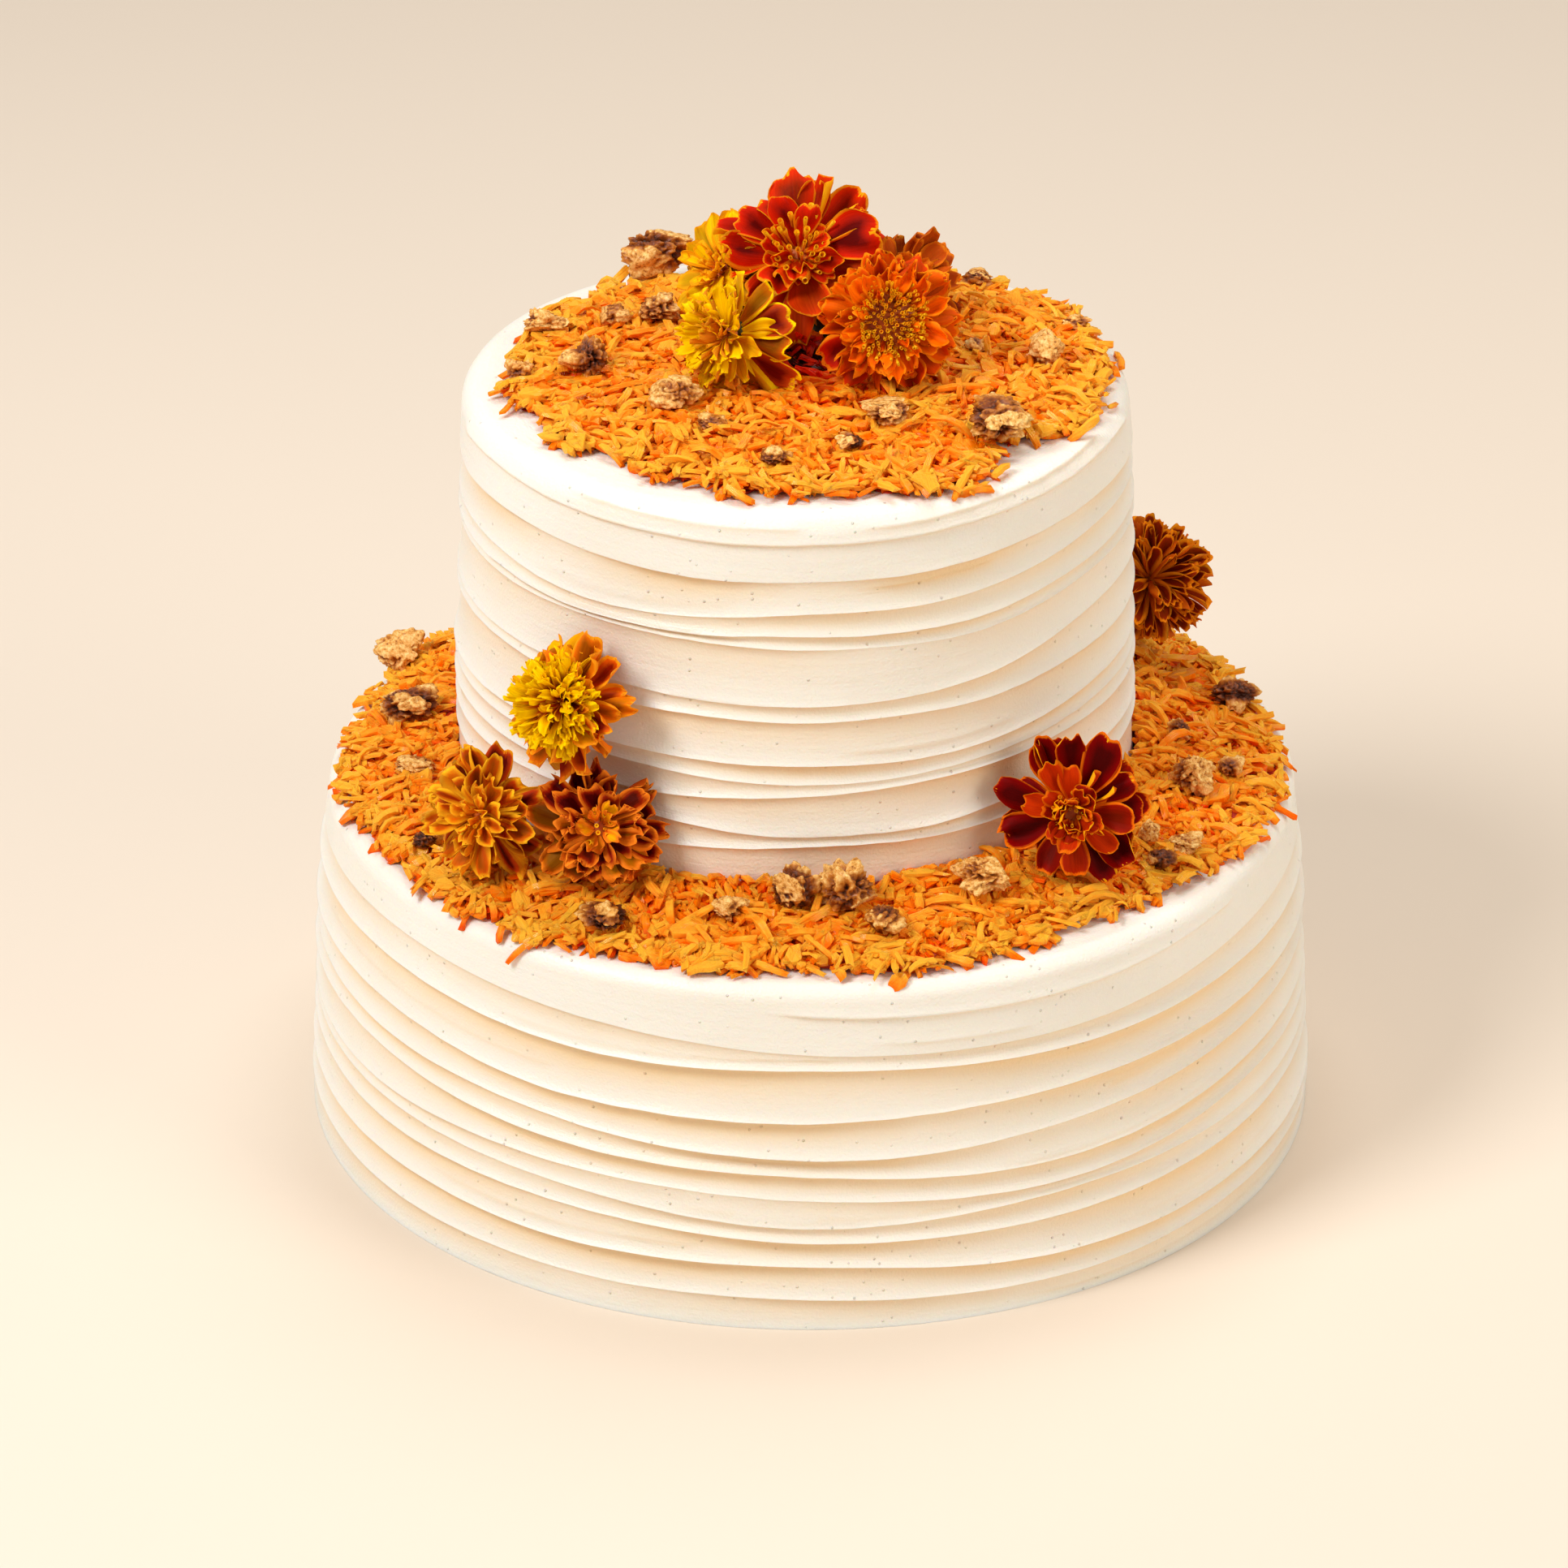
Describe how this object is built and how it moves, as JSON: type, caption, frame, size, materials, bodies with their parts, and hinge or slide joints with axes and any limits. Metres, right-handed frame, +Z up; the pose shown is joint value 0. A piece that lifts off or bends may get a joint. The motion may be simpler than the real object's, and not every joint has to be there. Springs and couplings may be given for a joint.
{
  "type": "carrot cake",
  "caption": "Two-tier round cake with combed cream icing, beds of grated carrot on its top and ledge, marigold heads and glazed walnut pieces.",
  "frame": {"origin": "centre of the lower tier's foot, on the surface that the cake stands on", "axes": "+Z up, -Y towards the front, +X to the right seen from the front"},
  "size_m": [0.2454, 0.2462, 0.2304],
  "materials": {
    "icing": "satin cream",
    "carrot": "moist",
    "walnut": "sugar glaze",
    "marigold_red": "velvety petals",
    "marigold_orange": "velvety petals",
    "marigold_yellow": "velvety petals",
    "marigold_bronze": "velvety petals"
  },
  "bodies": {
    "root": {"tier_lower": "icing", "tier_upper": "icing", "carrot_top": "carrot", "carrot_ledge": "carrot", "marigold_01": "marigold_red", "marigold_02": "marigold_yellow", "marigold_03": "marigold_orange", "marigold_04": "marigold_yellow", "marigold_05": "marigold_red", "marigold_06": "marigold_yellow", "marigold_07": "marigold_bronze", "marigold_08": "marigold_bronze", "marigold_09": "marigold_red", "marigold_10": "marigold_bronze", "walnut_01": "walnut", "walnut_02": "walnut", "walnut_03": "walnut", "walnut_04": "walnut", "walnut_05": "walnut", "walnut_06": "walnut", "walnut_07": "walnut", "walnut_08": "walnut", "walnut_09": "walnut", "walnut_10": "walnut", "walnut_11": "walnut", "walnut_12": "walnut", "walnut_13": "walnut", "walnut_14": "walnut", "walnut_15": "walnut", "walnut_16": "walnut", "walnut_17": "walnut", "walnut_18": "walnut", "walnut_19": "walnut", "walnut_20": "walnut", "walnut_21": "walnut", "walnut_22": "walnut", "walnut_23": "walnut", "walnut_24": "walnut", "walnut_25": "walnut", "walnut_26": "walnut", "walnut_27": "walnut", "walnut_28": "walnut", "walnut_29": "walnut", "walnut_30": "walnut", "walnut_31": "walnut", "walnut_32": "walnut", "walnut_33": "walnut", "walnut_34": "walnut", "walnut_35": "walnut", "walnut_36": "walnut", "walnut_37": "walnut", "walnut_38": "walnut", "walnut_39": "walnut"}
  },
  "joints": []
}
